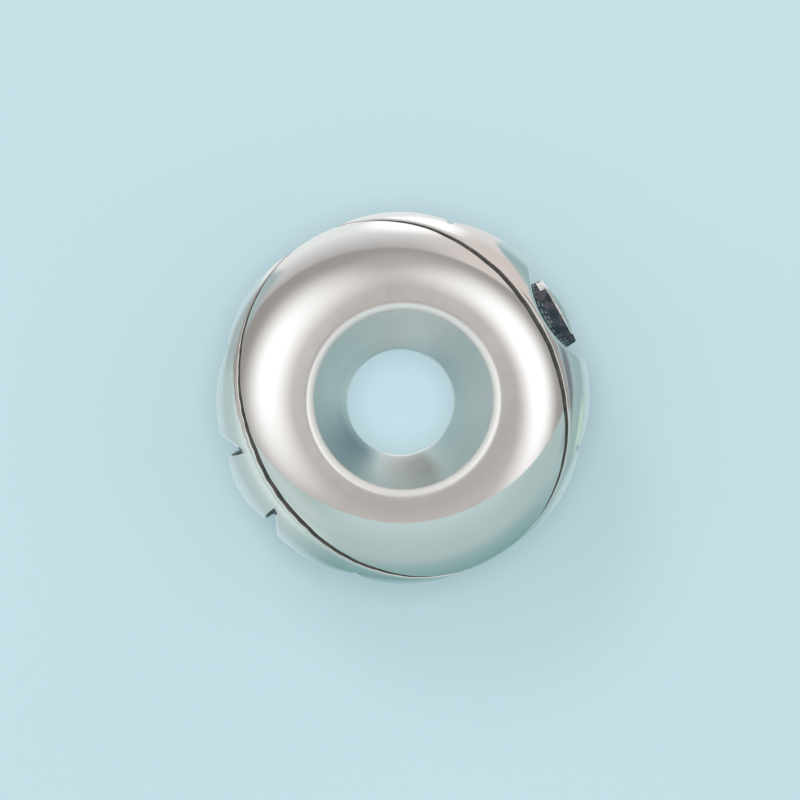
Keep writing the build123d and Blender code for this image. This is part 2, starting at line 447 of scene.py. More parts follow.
def casting_half(turn):
    """Radius, height, oxide, satin, the lip's painted highlight and the bore's painted shade and reflections
    of the upper half's profile at each angle.

    The columns run from mid-length up the band, across the line, over the round to the ring that it
    rests on, and down the lip, the cone and the throat to mid-length again. Where the line is lower
    than the round reaches, the round's first rows are stretched down to it.
    """
    column = turn[:, None]

    def band_only(height):
        return band_surface(turn, height)[0]

    band_edge = line_crossing(turn, band_only, -line_width / 2, ripple_size)
    floor_in = line_crossing(turn, sunk_radius, -line_width / 2)
    floor_out = line_crossing(turn, sunk_radius, line_width / 2)
    round_edge = line_crossing(turn, plain_radius, line_width / 2)

    even_shares = np.linspace(0.0, band_crowds_at, band_rows, endpoint=False)
    share = np.concatenate((even_shares, np.linspace(band_crowds_at, band_stops_at, crowded_rows)))
    heights = band_edge[:, None] * share
    radii, oxide = band_surface(column + 0.0 * heights, heights)
    rows = [(radii, heights, oxide * (1.0 - smooth_step(*band_wiped, share)))]

    edge_radius = band_only(band_edge)
    edge_radii = edge_radius[:, None] - line_edge_round * edge_drops
    edge_heights = band_edge[:, None] - line_edge_round * edge_insets
    rows.append((edge_radii, edge_heights, edge_film + 0.0 * column))
    wall_radii = stretch(edge_radius - line_edge_round, sunk_radius(floor_in), wall_shares)
    rows.append((wall_radii, stretch(band_edge, floor_in, wall_shares), wall_film + 0.0 * column))
    floor_heights = stretch(floor_in, floor_out, floor_shares)
    rows.append((sunk_radius(floor_heights), floor_heights, 1.0 + 0.0 * floor_heights))
    rise_radii = stretch(sunk_radius(floor_out), plain_radius(round_edge), rise_shares)
    rows.append((rise_radii, stretch(floor_out, round_edge, rise_shares), 1.0 + 0.0 * rise_radii))

    edge_turn = np.arccos(np.clip((round_edge - round_centre) / round_radius, -1.0, 1.0))
    edge_turn = np.where(round_edge < round_centre, pi / 2, edge_turn)
    lower_by = np.minimum(round_edge - round_centre, 0.0)
    arc_shares = np.concatenate((arc_first_shares, np.linspace(arc_even_from, 1.0, arc_rows)))
    swing = edge_turn[:, None] * (1 - arc_shares)
    arc_heights = round_centre + round_radius * np.cos(swing)
    arc_heights = arc_heights + lower_by[:, None] * (1 - arc_shares) ** stretch_fade
    arc_film = 0.0 * arc_heights
    arc_film[:, 0] = arc_first_film
    rows.append((ring_radius + round_radius * np.sin(swing), arc_heights, arc_film))

    bore_radii, bore_heights, lip_count = bore_profile()
    rows.append((bore_radii + 0.0 * column, bore_heights + 0.0 * column, 0.0 * (bore_radii + column)))
    rows.append((throat_radius + 0.0 * column, 0.0 * column, 0.0 * column))
    radii, heights, oxide = [np.concatenate(part, axis=1) for part in zip(*rows)]

    outside = np.zeros(radii.shape[1] - bore_radii.size - 1)
    # The lip's painted highlight: between two radii the lip is whitened and matt, an even bright ring.
    lip_highlight_share = 1.0 - smooth_step(*lip_highlight_radii, bore_radii[:lip_count])
    past_lip = np.ones(bore_radii.size - lip_count + 1)
    satin = np.concatenate((outside, lip_highlight_share, past_lip))
    lip_highlight = np.concatenate((outside, lip_highlight_share, 0.0 * past_lip))
    in_bore = np.concatenate((outside, 0.0 * lip_highlight_share, past_lip))
    # Painted shade and reflections on the bore's wall, as tints.
    bore_shading = bore_shading_tone(column, heights) * in_bore
    return radii, heights, oxide, satin + 0.0 * column, lip_highlight + 0.0 * column, bore_shading


def grid_piece(name, points, masks, rows_close):
    """A mesh on a grid of points, rows by columns by 3. Its columns always close on themselves.

    The rows close too, or else the first and the last row are one point each, a pole.
    """
    rows, columns = points.shape[:2]
    index = np.arange(rows * columns).reshape(rows, columns)
    if rows_close:
        lower, upper = index, np.roll(index, -1, axis=0)
    else:
        index = index - (columns - 1)
        index[0] = 0
        index[-1] = index[-2, -1] + 1
        lower, upper = index[1:-2], index[2:-1]
        points = np.concatenate((points[:1, :1].reshape(-1, 3), points[1:-1].reshape(-1, 3), points[-1, :1]))
    beside_lower, beside_upper = np.roll(lower, -1, axis=1), np.roll(upper, -1, axis=1)
    faces = np.stack([lower, beside_lower, beside_upper, upper], axis=-1).reshape(-1, 4).tolist()
    if not rows_close:
        first, last = index[1], index[-2]
        faces += np.stack([0 * first, np.roll(first, -1), first], axis=-1).tolist()
        faces += np.stack([0 * last + index[-1, 0], last, np.roll(last, -1)], axis=-1).tolist()
    mesh = bpy.data.meshes.new(name)
    mesh.from_pydata((points.reshape(-1, 3) * MM).tolist(), [], faces)
    mesh.polygons.foreach_set("use_smooth", np.ones(len(mesh.polygons), bool))
    for label, values in masks.items():
        if not rows_close:
            values = np.concatenate((values[0, :1], values[1:-1].ravel(), values[-1, :1]))
        layer = mesh.attributes.new(label, "FLOAT", "POINT")
        layer.data.foreach_set("value", values.astype(np.float32).ravel())
    mesh.validate()
    mesh.update()
    piece = bpy.data.objects.new(name, mesh)
    bpy.context.scene.collection.objects.link(piece)
    return piece


def both_halves(values):
    """The upper half's values, followed by the same ones for the lower half, back up to mid-length."""
    return np.concatenate((values, values[:, -2:0:-1]), axis=1)


# The hole is a little off centre: the lip by one amount, and the throat by another
turns = crowded_turns(column_count)
half_radii, half_heights, *half_masks = casting_half(turns)
radii = both_halves(half_radii)
heights = np.concatenate((half_heights, -half_heights[:, -2:0:-1]), axis=1)
oxide, satin, lip_highlight, bore_shading = [both_halves(mask) for mask in half_masks]
lip_depth = half_length - lip_round
in_bore = (bore_shading > 0.0) * (1.0 - smooth_step(throat_length / 2, lip_depth, np.abs(heights)))
on_lip = 1.0 - smooth_step(ring_radius - ring_land, ring_radius, radii)
wander_x, wander_y = [
    on_lip * lip + in_bore * (throat - lip) for lip, throat in zip(lip_wander, throat_wander)
]
casting_points = np.stack(
    [
        radii * np.sin(turns)[:, None] + wander_x,
        -radii * np.cos(turns)[:, None] + wander_y,
        heights + half_length,
    ],
    axis=-1,
)
casting_masks = {"oxide": oxide, "satin": satin, "lip_highlight": lip_highlight, "bore_shading": bore_shading}
casting = grid_piece("bead_casting", casting_points, casting_masks, rows_close=True)


def tint(red, green, blue):
    """A colour given as it looks on a screen, 0 to 255 a channel, as the linear light that shaders use."""
    shares = np.array([red, green, blue]) / 255
    linear = np.where(shares <= 0.04045, shares / 12.92, ((shares + 0.055) / 1.055) ** 2.4)
    return (*linear.tolist(), 1.0)


def add_node(tree, kind, values=(), **settings):
    """Adds a shader node, sets its properties, and sets or links its inputs by name or number."""
    node = tree.nodes.new(kind)
    for label, value in settings.items():
        setattr(node, label, value)
    for label, value in dict(values).items():
        if isinstance(value, bpy.types.NodeSocket):
            tree.links.new(value, node.inputs[label])
        else:
            node.inputs[label].default_value = value
    return node


def new_material(name):
    """A material, its emptied node tree, and the socket of the place on the piece."""
    material = bpy.data.materials.new(name)
    material.use_nodes = True
    tree = material.node_tree
    tree.nodes.clear()
    return material, tree, add_node(tree, "ShaderNodeTexCoord").outputs["Object"]


def calculate(tree, operation, *inputs):
    """The output of a Math node."""
    return add_node(tree, "ShaderNodeMath", dict(enumerate(inputs)), operation=operation).outputs[0]


def ramp(tree, value, low, high, to_low=0.0, to_high=1.0):
    """A smooth step from to_low, where value is low, to to_high, where it is high."""
    names = ("Value", "From Min", "From Max", "To Min", "To Max")
    sockets = dict(zip(names, (value, low, high, to_low, to_high)))
    return add_node(tree, "ShaderNodeMapRange", sockets, interpolation_type="SMOOTHSTEP").outputs[0]


def blend_colours(tree, share, first, second, blend="MIX"):
    """first where share is 0, second where it is 1."""
    values = {0: share, 6: first, 7: second}
    return add_node(tree, "ShaderNodeMix", values, data_type="RGBA", blend_type=blend).outputs[2]


def colours_by(tree, value, span, stops):
    """Colours that change with a value between 0 and span, each stop given as (value, red, green, blue)."""
    node = add_node(tree, "ShaderNodeValToRGB", {0: calculate(tree, "DIVIDE", value, span)})
    elements = node.color_ramp.elements
    for element, (at, *colour) in zip(elements, (stops[0], stops[-1])):
        element.position = at / span
        element.color = tint(*colour)
    for at, *colour in stops[1:-1]:
        element = elements.new(at / span)
        element.color = tint(*colour)
    return node.outputs[0]


def noise(tree, vector, scale, detail=2.0, roughness=0.5):
    """Cloudy noise from 0 to 1, with scale in cells a metre."""
    values = {"Vector": vector, "Scale": scale, "Detail": detail, "Roughness": roughness}
    return add_node(tree, "ShaderNodeTexNoise", values).outputs[0]


def new_group(name, inputs, outputs):
    """An empty shader node group with named sockets, each given as (name, kind, value)."""
    group = bpy.data.node_groups.new(name, "ShaderNodeTree")
    for direction, sockets in (("INPUT", inputs), ("OUTPUT", outputs)):
        for label, kind, value in sockets:
            socket = group.interface.new_socket(label, in_out=direction, socket_type="NodeSocket" + kind)
            if value is not None:
                socket.default_value = value
    source = group.nodes.new("NodeGroupInput")
    sink = group.nodes.new("NodeGroupOutput")
    return group, source.outputs, sink.inputs


def place_group(tree, group, values):
    """Places a group in a material, with its own values."""
    return add_node(tree, "ShaderNodeGroup", values, node_tree=group).outputs


# Polish: hairline scratches, a faint haze and a slow unevenness that the polishing wheel leaves
noise_middle = 0.5
cloud_scale, cloud_height = 320.0, 0.5
smear_scale = 1700.0
hairline_width, hairline_roughness, hairline_depth = 0.006, 0.12, 0.012
hairline_clouds = (0.42, 0.68)
haze_smears = (0.35, 0.75)
warm_silver = (0.955, 0.945, 0.930, 1.0)
cool_silver = (0.915, 0.915, 0.915, 1.0)
polish, given, result = new_group(
    "wheel_polish",
    (
        ("Vector", "Vector", None),
        ("Roughness", "Float", 0.08),
        ("Haze", "Float", 0.05),
        ("Scratches", "Float", 1.0),
        ("Hairline Scale", "Float", 900.0),
    ),
    (("Roughness", "Float", None), ("Tint", "Color", None), ("Height", "Float", None)),
)
clouds = noise(polish, given["Vector"], cloud_scale, detail=3.0)
smear = noise(polish, given["Vector"], smear_scale, detail=4.0, roughness=0.6)
hair_field = noise(polish, given["Vector"], given["Hairline Scale"], detail=1.0)
off_line = calculate(polish, "ABSOLUTE", calculate(polish, "SUBTRACT", hair_field, noise_middle))
hairline = ramp(polish, off_line, 0.0, hairline_width, 1.0, 0.0)
hairline = calculate(polish, "MULTIPLY", hairline, ramp(polish, clouds, *hairline_clouds))
hairline = calculate(polish, "MULTIPLY", hairline, given["Scratches"])
hazy = calculate(polish, "MULTIPLY", given["Haze"], ramp(polish, smear, *haze_smears))
rough = calculate(polish, "ADD", given["Roughness"], hazy)
rough = calculate(polish, "ADD", rough, calculate(polish, "MULTIPLY", hairline, hairline_roughness))
polish.links.new(rough, result["Roughness"])
polish.links.new(blend_colours(polish, clouds, warm_silver, cool_silver), result["Tint"])
height = calculate(polish, "MULTIPLY", clouds, cloud_height)
height = calculate(polish, "SUBTRACT", height, calculate(polish, "MULTIPLY", hairline, hairline_depth))
polish.links.new(height, result["Height"])

# Oxide: a dark sulphide film that polishing wears off all that stands proud, with ragged edges and
# grain. At an amount of 1 it is worn in patches, and towards 2 it takes the Thick colour.
blotch_scale = 2600.0
push_gain = 2.0
film_edge = (0.44, 0.56)
film_patches = (0.38, 0.66)
film_thickens = (1.2, 1.8)
film_grain, film_roughness = (0.3, 0.7), (0.32, 0.62)
oxide_film, given, result = new_group(
    "dark_oxide",
    (
        ("Vector", "Vector", None),
        ("Amount", "Float", 0.0),
        ("Raggedness", "Float", 0.35),
        ("Grain Scale", "Float", 9000.0),
        ("Dark", "Color", (0.020, 0.022, 0.022, 1.0)),
        ("Worn", "Color", (0.16, 0.15, 0.14, 1.0)),
        ("Thick", "Color", (0.02, 0.04, 0.05, 1.0)),
    ),
    (
        ("Mask", "Float", None), ("Color", "Color", None),
        ("Roughness", "Float", None), ("Height", "Float", None),
    ),
)
grain = noise(oxide_film, given["Vector"], given["Grain Scale"], detail=3.0, roughness=0.6)
blotches = noise(oxide_film, given["Vector"], blotch_scale, detail=2.0)
push = calculate(oxide_film, "SUBTRACT", grain, noise_middle)
push = calculate(oxide_film, "MULTIPLY", push, given["Raggedness"])
reach = calculate(oxide_film, "ADD", given["Amount"], calculate(oxide_film, "MULTIPLY", push, push_gain))
oxide_film.links.new(ramp(oxide_film, reach, *film_edge), result["Mask"])
patchy = ramp(oxide_film, blotches, *film_patches)
thickness = ramp(oxide_film, given["Amount"], *film_thickens)
film_colour = blend_colours(oxide_film, patchy, given["Dark"], given["Worn"])
oxide_film.links.new(blend_colours(oxide_film, thickness, film_colour, given["Thick"]), result["Color"])
oxide_film.links.new(ramp(oxide_film, grain, *film_grain, *film_roughness), result["Roughness"])
oxide_film.links.new(calculate(oxide_film, "ADD", grain, blotches), result["Height"])

# What the lip's painted highlight and the bore's painted shade and reflections look like, and how much
# the bumps show
lip_highlight_colour = (0.73, 0.73, 0.72, 1.0)
lip_highlight_metallic = 0.2
lip_highlight_roughness = 0.5
polish_depth = 0.00002
grain_strength = 0.6
bore_shading_tints = (
    (0.0, 255, 255, 255),
    (tone_straw, 222, 211, 205),
    (tone_none, 255, 255, 255),
    (tone_blue, 238, 247, 247),
    (tone_slate, 159, 175, 184),
)


def silver_material(name, roughness, satin, haze, scratches, film_values, film_metallic, grain_depth):
    """Polished silver under a film of oxide, where the piece's own mask lets it stay.

    Where the piece's satin mask is 1, the polish is duller by satin. Where its lip mask is 1, the metal
    is matt and whitened into an even bright ring, a painted highlight of the lip's round. Its bore mask
    picks a painted tint for the bore's shade and reflections: none at 0, straw at 0.05, none at 0.3, pale
    blue-green at 0.5 and slate at 1.
    """
    material, tree, place = new_material(name)
    kept, dull, lip_highlighted, bore_shaded = [
        add_node(tree, "ShaderNodeAttribute", attribute_name=mask).outputs["Fac"]
        for mask in ("oxide", "satin", "lip_highlight", "bore_shading")
    ]
    base = calculate(tree, "ADD", calculate(tree, "MULTIPLY", dull, satin), roughness)
    shine_values = {"Vector": place, "Roughness": base, "Haze": haze, "Scratches": scratches}
    shine = place_group(tree, polish, shine_values)
    film = place_group(tree, oxide_film, {"Vector": place, "Amount": kept, **film_values})
    mask = film["Mask"]
    # Painted shade and reflections in the bore: the bore mask picks a tint that multiplies the metal's
    # colour.
    bore_shading_tint = colours_by(tree, bore_shaded, tone_slate, bore_shading_tints)
    metal_tint = blend_colours(tree, 1.0, shine["Tint"], bore_shading_tint, blend="MULTIPLY")
    # Painted highlight: where the lip mask is 1, the metal is whitened and matt into an even bright ring.
    metal_tint = blend_colours(tree, lip_highlighted, metal_tint, lip_highlight_colour)
    metal_metallic = ramp(tree, lip_highlighted, 0.0, 1.0, 1.0, lip_highlight_metallic)
    metal_roughness = ramp(tree, lip_highlighted, 0.0, 1.0, shine["Roughness"], lip_highlight_roughness)
    low_bump = add_node(
        tree, "ShaderNodeBump", {"Height": shine["Height"], "Distance": polish_depth, "Strength": 1.0}
    )
    high_bump = add_node(
        tree,
        "ShaderNodeBump",
        {
            "Height": calculate(tree, "MULTIPLY", film["Height"], mask),
            "Distance": grain_depth,
            "Strength": grain_strength,
            "Normal": low_bump.outputs[0],
        },
    )
    shader = add_node(
        tree,
        "ShaderNodeBsdfPrincipled",
        {
            "Base Color": blend_colours(tree, mask, metal_tint, film["Color"]),
            "Metallic": ramp(tree, mask, 0.0, 1.0, metal_metallic, film_metallic),
            "Roughness": ramp(tree, mask, 0.0, 1.0, metal_roughness, film["Roughness"]),
            "Normal": high_bump.outputs[0],
        },
    )
    add_node(tree, "ShaderNodeOutputMaterial", {"Surface": shader.outputs[0]})
    return material


casting.data.materials.append(
    silver_material(
        "polished_silver",
        roughness=0.05,
        satin=0.24,
        haze=0.04,
        scratches=0.5,
        film_values={
            "Raggedness": 0.42,
            "Grain Scale": 9000.0,
            "Dark": tint(91, 92, 88),
            "Worn": tint(112, 109, 103),
            # This thick film's colour is used only beside the boss, as oxide and a painted shadow.
            "Thick": tint(38, 62, 68),
        },
        film_metallic=0.35,
        grain_depth=0.000006,
    )
)
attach(casting, "root")
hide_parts("bead_body")

# Bezel: a plain upright collar of silver, cast with the body and left dark and grainy, with two rows of
# fine beads where it rises from its dish. Only its rim is burnished bright, where it holds the stone.
rim_drop = 0.12
rim_level = crest_radius - rim_drop
rim_round = 0.028
rim_lean = 0.012
collar_wall = 0.11
pocket_depth = 0.4
pocket_radius = collar_radius - collar_wall
pocket_level = rim_level - pocket_depth
pocket_corner, pocket_top = 0.02, 0.04
root_level = dish_bottom - line_depth
wall_top = 0.05
rim_rows, pocket_rows, wall_rows = 6, 4, 44
bezel_columns = 360

# The cast wall's waves are (rate round it, rate up it, phase), and their sizes come after them
wall_roughness = 0.016
wall_waves = (
    (7, 3.1, 0.0),
    (13, -9.0, 1.3),
    (31, 23.0, 0.4),
    (53, -31.0, 2.2),
    (89, 61.0, 0.0),
    (71, -47.0, 0.9),
)
slow_size, quick_size, fine_size, all_sizes = 0.5, 0.8, 1.1, 3.4


def rough_cast(angle, level):
    """Unevenness of a cast wall, about -1 to 1: two slow waves, two quick ones and two fine ones crossed."""
    waves = [np.sin(rate * angle + climb * level + phase) for rate, climb, phase in wall_waves]
    slow = slow_size * (waves[0] + waves[1])
    quick = quick_size * (waves[2] + waves[3])
    return (slow + quick + fine_size * waves[4] * waves[5]) / all_sizes


def step_under(level, drops, value):
    """A smooth step from one drop under a level to another."""
    return smooth_step(level - drops[0], level - drops[1], value)


def bezel_profile():
    """Radius and level down the bezel's section: pocket floor and wall, round burnished rim, and wall."""
    rim_turns = np.linspace(0.0, pi / 2, rim_rows)
    inner_turns = rim_turns[::-1]
    rim_centre = rim_level - rim_round
    pocket_levels = np.linspace(pocket_level + pocket_corner, rim_level - pocket_top, pocket_rows)
    wall_levels = np.linspace(rim_level - wall_top, root_level, wall_rows)
    outer_rim = collar_radius - rim_round + rim_round * np.sin(rim_turns)
    inner_rim = pocket_radius + rim_round * (1 - np.sin(inner_turns)) - rim_lean
    parts = [
        ([0.0, pocket_radius / 2, pocket_radius - pocket_corner], [pocket_level] * 3),
        (pocket_radius + 0.0 * pocket_levels, pocket_levels),
        (inner_rim, rim_centre + rim_round * np.cos(inner_turns)),
        (outer_rim, rim_centre + rim_round * np.cos(rim_turns)),
        (collar_radius + 0.0 * wall_levels, wall_levels),
        ([collar_radius / 2, 0.0], [root_level] * 2),
    ]
    return [np.concatenate(part)[:, None] for part in zip(*parts)]


around = np.linspace(0.0, 2 * pi, bezel_columns, endpoint=False)
profile_radii, profile_levels = bezel_profile()
bezel_radii = profile_radii + 0.0 * around
bezel_levels = profile_levels + 0.0 * around

# Two rows of beads stand over the dish's floor, which climbs towards the collar's two sides. They
# drift and swell round it by waves given as (rate, phase, size).
bead_count = 34
bead_size = 0.05
bead_drifts = ((3, 0.0, 0.9), (7, 1.0, 0.5))
swell_rate, swell_phase, swell_size = 5, 0.6, 0.25
lower_lift, lower_width, lower_power = 0.05, 0.045, 0.7
upper_lift, upper_width, upper_power = 0.16, 0.04, 2
upper_shift, upper_size = 0.5, 0.7
wall_insets = (0.004, 0.001)
wall_drops = (0.03, 0.10)
on_wall = step_under(collar_radius, wall_insets, bezel_radii)
on_wall = on_wall * step_under(rim_level, wall_drops, bezel_levels)
foot_level = dish_level(collar_radius * np.cos(around), collar_radius * np.sin(around))
over_foot = bezel_levels - foot_level
bead_pace = bead_count / 2 * around
for rate, phase, size in bead_drifts:
    bead_pace = bead_pace + size * np.sin(rate * around + phase)
lower_row = bell(over_foot, lower_lift, lower_width) * np.abs(np.cos(bead_pace)) ** lower_power
upper_row = bell(over_foot, upper_lift, upper_width) * np.abs(np.sin(bead_pace + upper_shift)) ** upper_power
swell = 1.0 - swell_size + swell_size * np.sin(swell_rate * around + swell_phase)
bead_row = (lower_row + upper_size * upper_row) * swell
unevenness = rough_cast(around, bezel_levels)
bezel_radii = bezel_radii + on_wall * (wall_roughness * unevenness + bead_size * bead_row)

# The oxide is polished off the rim. The rim's lower end in the picture is left dark with the oxide's
# colour, and one spot at its top end is left bare to give a painted highlight. It is thicker on the beads,
# where it is a pale blue-green.
rim_film_drops = (0.075, 0.035)
rim_film_waver = 0.01
pocket_film_insets = (0.03, 0.005)
dark_end = (-0.95, -0.6)
spot_at, spot_half, spot_edge = 27.0, 16.0, 0.1
spot_drops = (0.26, 0.2)
bead_film = (0.15, 0.55)
wavering_levels = bezel_levels + rim_film_waver * unevenness
bright = step_under(rim_level, rim_film_drops, wavering_levels)
bright = bright * step_under(pocket_radius, pocket_film_insets, bezel_radii)
# Darker at the rim's lower end in the picture.
bright = bright * smooth_step(*dark_end, np.cos(around))
# A bare spot at the rim's top end, a painted highlight.
in_spot = 1.0 - np.abs(around - radians(spot_at)) / radians(spot_half)
spot = smooth_step(-spot_edge, spot_edge, in_spot) * step_under(rim_level, spot_drops, bezel_levels)
bezel_oxide = (1.0 - np.maximum(bright, spot)) * (1.0 + smooth_step(*bead_film, bead_row * on_wall))
bezel_points = np.stack(
    [bezel_radii * np.cos(around), -bezel_levels, half_length + bezel_radii * np.sin(around)], axis=-1
)
bezel = grid_piece("bezel_collar", bezel_points, {"oxide": bezel_oxide}, rows_close=False)
bezel.data.materials.append(
    silver_material(
        "oxidised_bezel",
        roughness=0.10,
        satin=0.0,
        haze=0.10,
        scratches=1.0,
        film_values={
            "Raggedness": 0.35,
            "Grain Scale": 7000.0,
            "Dark": tint(48, 62, 70),
            "Worn": tint(98, 98, 107),
            "Thick": tint(118, 144, 150),
        },
        film_metallic=0.55,
        grain_depth=0.00002,
    )
)
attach(bezel, "root")
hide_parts("bead_body")

# Stone: a small pale, nearly clear stone, cut as a low dome on a drum and polished. It sits in the
# collar's pocket, and the rim that is burnished over its edge holds it.
stone_low, stone_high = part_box("cabochon")
stone_radius = (stone_high.x - stone_low.x) / 2 / MM
stone_base = -stone_high.y / MM
stone_top = -stone_low.y / MM
girdle_drop = 0.02
stone_girdle = rim_level - girdle_drop
stone_chamfer = 0.05
dome_rows, drum_rows = 24, 4
stone_columns = 160


def stone_section():
    """Radius and level from the dome's top down, an arc of radius (half width² + sag²) / 2 sag."""
    sag = stone_top - stone_girdle
    dome_radius = (stone_radius**2 + sag**2) / (2 * sag)
    swing = np.linspace(0.0, 1.0, dome_rows) * asin(stone_radius / dome_radius)
    dome = np.stack([dome_radius * np.sin(swing), stone_top - dome_radius * (1 - np.cos(swing))])
    shares = np.linspace(0.0, 1.0, drum_rows + 1)[1:]
    drum_levels = stone_girdle + (stone_base + stone_chamfer - stone_girdle) * shares
    drum = np.stack([stone_radius + 0.0 * shares, drum_levels])
    base = np.array([[stone_radius - stone_chamfer, stone_radius / 2, 0.0], [stone_base] * 3])
    return np.concatenate((dome, drum, base), axis=1)


stone_radii, stone_levels = stone_section()
stone_around = np.linspace(0.0, 2 * pi, stone_columns, endpoint=False)
stone_points = np.stack(
    [
        stone_radii[:, None] * np.cos(stone_around),
        -stone_levels[:, None] + 0.0 * stone_around,
        half_length + stone_radii[:, None] * np.sin(stone_around),
    ],
    axis=-1,
)
stone = grid_piece("cabochon_stone", stone_points[::-1], {}, rows_close=False)

milk_scale = 1500.0
milk_clouds = (0.3, 0.7)
clear_stone = tint(196, 222, 224)
milky_stone = tint(226, 238, 238)
stone_polish_depth = 0.00001
stone_material, tree, place = new_material("pale_stone")
milk = ramp(tree, noise(tree, place, milk_scale, detail=4.0, roughness=0.6), *milk_clouds)
shine = place_group(tree, polish, {"Vector": place, "Roughness": 0.03, "Haze": 0.03, "Scratches": 0.3})
shine_bump = add_node(
    tree, "ShaderNodeBump", {"Height": shine["Height"], "Distance": stone_polish_depth, "Strength": 1.0}
)
shader = add_node(
    tree,
    "ShaderNodeBsdfPrincipled",
    {
        "Base Color": blend_colours(tree, milk, clear_stone, milky_stone),
        "Roughness": shine["Roughness"],
        "IOR": 1.6,
        "Transmission Weight": 0.55,
        "Coat Weight": 0.6,
        "Coat Roughness": 0.02,
        "Normal": shine_bump.outputs[0],
    },
)
add_node(tree, "ShaderNodeOutputMaterial", {"Surface": shader.outputs[0]})
stone.data.materials.append(stone_material)
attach(stone, "root")
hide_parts("cabochon")

# Floor: a plain pale sheet that glows a little, as opal acrylic on a light box does. Under the bore it
# glows more strongly, a painted pool of light, so that the bore shows bright. Mirror rays pass it, and see
# the studio's own reflection of it instead.
floor_half = 1.5
floor_drop = 0.000002
glow, bore_glow = 0.22, 0.56
bore_glow_ends = (2.6 * MM, 3.3 * MM)
sheet_scale = 40.0
sheet_dark = tint(163, 187, 194)
sheet_light = tint(167, 190, 197)
corners = ((-1, -1), (1, -1), (1, 1), (-1, 1))
floor_mesh = bpy.data.meshes.new("floor")
floor_points = [(x * floor_half, y * floor_half, -floor_drop) for x, y in corners]
floor_mesh.from_pydata(floor_points, [], [(0, 1, 2, 3)])
floor = bpy.data.objects.new("floor", floor_mesh)
bpy.context.scene.collection.objects.link(floor)
floor_material, tree, place = new_material("pale_acrylic")
flat_place = add_node(tree, "ShaderNodeVectorMath", {0: place, 1: (1.0, 1.0, 0.0)}, operation="MULTIPLY")
from_axis = add_node(tree, "ShaderNodeVectorMath", {0: flat_place.outputs[0]}, operation="LENGTH")
# Painted pool of light: the glow is stronger within the bore's reach.
under_bore = ramp(tree, from_axis.outputs["Value"], *bore_glow_ends, 1.0, 0.0)
sheet = noise(tree, place, sheet_scale, detail=2.0)
floor_shader = add_node(
    tree,
    "ShaderNodeBsdfPrincipled",
    {
        "Base Color": blend_colours(tree, sheet, sheet_dark, sheet_light),
        "Roughness": 0.6,
        "Specular IOR Level": 0.2,
        "Emission Color": tint(198, 221, 230),
        "Emission Strength": ramp(tree, under_bore, 0.0, 1.0, glow, bore_glow),
    },
)
add_node(tree, "ShaderNodeOutputMaterial", {"Surface": floor_shader.outputs[0]})
floor_mesh.materials.append(floor_material)
floor.visible_glossy = False

# Camera: it looks down the bore, leaning towards the lower left of the picture, with a long lens. The
# picture's side and the bead's centre are in pixels, and the scale in pixels a millimetre.
picture_side = 800
scale = 32.3
bead_centre = (402.7, 398.5)
picture_right = Vector((-0.4909, -0.8712, 0.0))
picture_up = Vector((0.8712, -0.4909, 0.0))
lean = radians(0.6)
lean_right, lean_up = -0.55, -0.83
lens = 300.0
sensor = 36.0
see_to = 10.0
away = picture_side / scale * MM * lens / sensor
back = Vector((0.0, 0.0, 1.0)) * cos(lean)
back += (picture_right * lean_right + picture_up * lean_up).normalized() * sin(lean)
side = picture_up.cross(back).normalized()
up = back.cross(side)
camera_data = bpy.data.cameras.new("camera")
camera_data.lens = lens
camera_data.sensor_width = sensor
camera_data.clip_end = see_to
camera = bpy.data.objects.new("camera", camera_data)
middle = Vector((0.0, 0.0, half_length * MM))
shift = (picture_side / 2 - bead_centre[0]) / scale * MM * side
shift += (bead_centre[1] - picture_side / 2) / scale * MM * up
camera.matrix_world = Matrix.Translation(middle + back * away + shift) @ Matrix(
    (
        (side.x, up.x, back.x, 0.0),
        (side.y, up.y, back.y, 0.0),
        (side.z, up.z, back.z, 0.0),
        (0.0, 0.0, 0.0, 1.0),
    )
)
bpy.context.scene.collection.objects.link(camera)
bpy.context.scene.camera = camera

# Key light: one large soft lamp over the top of the picture, which throws the bead's soft shadow. It
# is turned to face the bead.
key_aside, key_over = -0.45, 0.80
key_level, key_out = 0.75, 0.95
key_away = 0.25
key_direction = (picture_right * key_aside + picture_up * key_over).normalized() * key_level
key_direction += Vector((0.0, 0.0, key_out))


def disc_lamp(name, size, energy, location):
    """A round soft light that shines down, and that polished metal does not mirror."""
    lamp_data = bpy.data.lights.new(name, "AREA")
    lamp_data.shape = "DISK"
    lamp_data.size = size
    lamp_data.energy = energy
    lamp = bpy.data.objects.new(name, lamp_data)
    lamp.location = location
    lamp.visible_glossy = False
    bpy.context.scene.collection.objects.link(lamp)
    return lamp


key_place = middle + key_direction.normalized() * key_away
key = disc_lamp("key_softbox", size=0.09, energy=0.10, location=key_place)
key.data.color = (1.0, 0.985, 0.96)
key.rotation_mode = "QUATERNION"
key.rotation_quaternion = key_direction.to_track_quat("Z", "Y")

# Overhead light: a large diffuser straight above, which evens out the light on all that is matt. It
# shines straight down.
overhead_up = Vector((0.0, 0.0, 0.35))
disc_lamp("overhead_diffuser", size=0.12, energy=0.46, location=middle + overhead_up)

# Studio: what the polished metal mirrors. Two white softboxes left and right, a pale ceiling over the
# top, a blue-green table towards the bottom and behind, and a dim grey room round the camera.
world = bpy.data.worlds.new("studio")
bpy.context.scene.world = world
world.use_nodes = True
tree = world.node_tree
tree.nodes.clear()
look = add_node(tree, "ShaderNodeTexCoord").outputs["Generated"]


def component(axis):
    """How far the direction looked in points along an axis."""
    dot = add_node(tree, "ShaderNodeVectorMath", {0: look, 1: axis}, operation="DOT_PRODUCT")
    return dot.outputs["Value"]


